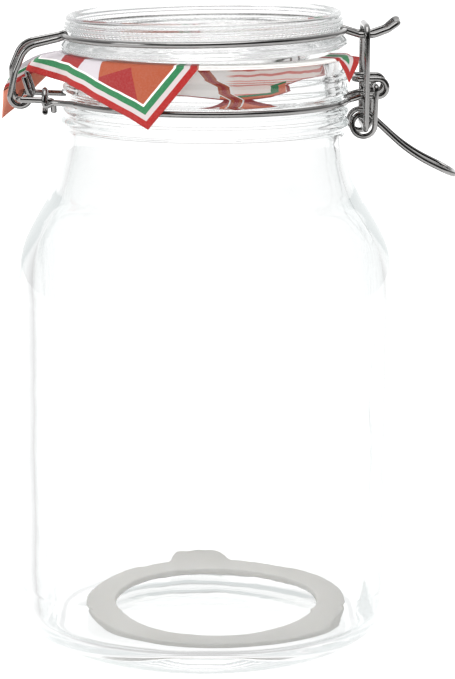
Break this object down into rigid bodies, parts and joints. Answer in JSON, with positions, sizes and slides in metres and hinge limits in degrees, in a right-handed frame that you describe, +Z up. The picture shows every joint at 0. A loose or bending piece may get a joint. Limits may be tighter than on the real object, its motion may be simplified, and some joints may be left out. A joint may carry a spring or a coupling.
{
  "type": "bail clamp jar",
  "caption": "Square glass storage jar with a round neck and a hinged glass lid, closed by a wire bail clamp with a lever, with a loose sealing ring inside.",
  "frame": {"origin": "centre of the flat underside of the jar", "axes": "+Z up, +X from the jar's axis to the latch, -Y to the side the jar is looked at from"},
  "size_m": [0.1684, 0.1366, 0.235],
  "materials": {
    "glass": "clear, smooth, fire polished",
    "wire": "drawn wire, bright, lightly streaked along its length",
    "rubber": "pale matt rubber",
    "paper": "printed sheet with red, white and green border stripes and plain patches of colour"
  },
  "bodies": {
    "jar": {"jar_body": "glass", "neck_wire": "wire", "leaflet": "paper"},
    "lid": {"lid": "glass", "lid_wire": "wire"},
    "lever": {"lever": "wire"},
    "link": {"tension_link": "wire"},
    "gasket": {"gasket": "rubber"}
  },
  "joints": [
    {"name": "lid_hinge", "type": "hinge", "parent": "jar", "child": "lid", "pos_m": [-0.068, 0, 0.2028], "axis": [0, -1, 0], "range_deg": [0, 110]},
    {"name": "lever_pivot", "type": "hinge", "parent": "jar", "child": "lever", "pos_m": [0.0624, 0, 0.2074], "axis": [0, -1, 0], "range_deg": [0, 110]},
    {"name": "link_pivot", "type": "hinge", "parent": "lever", "child": "link", "pos_m": [0.0586, 0, 0.192], "axis": [0, -1, 0], "range_deg": [-90, 0]},
    {"name": "gasket_lift", "type": "slide", "parent": "jar", "child": "gasket", "axis": [0, 0, 1], "range_m": [0, 0.12]}
  ],
  "couplings": [
    {"joint": "link_pivot", "follows": "lever_pivot", "ratio": -0.8}
  ]
}
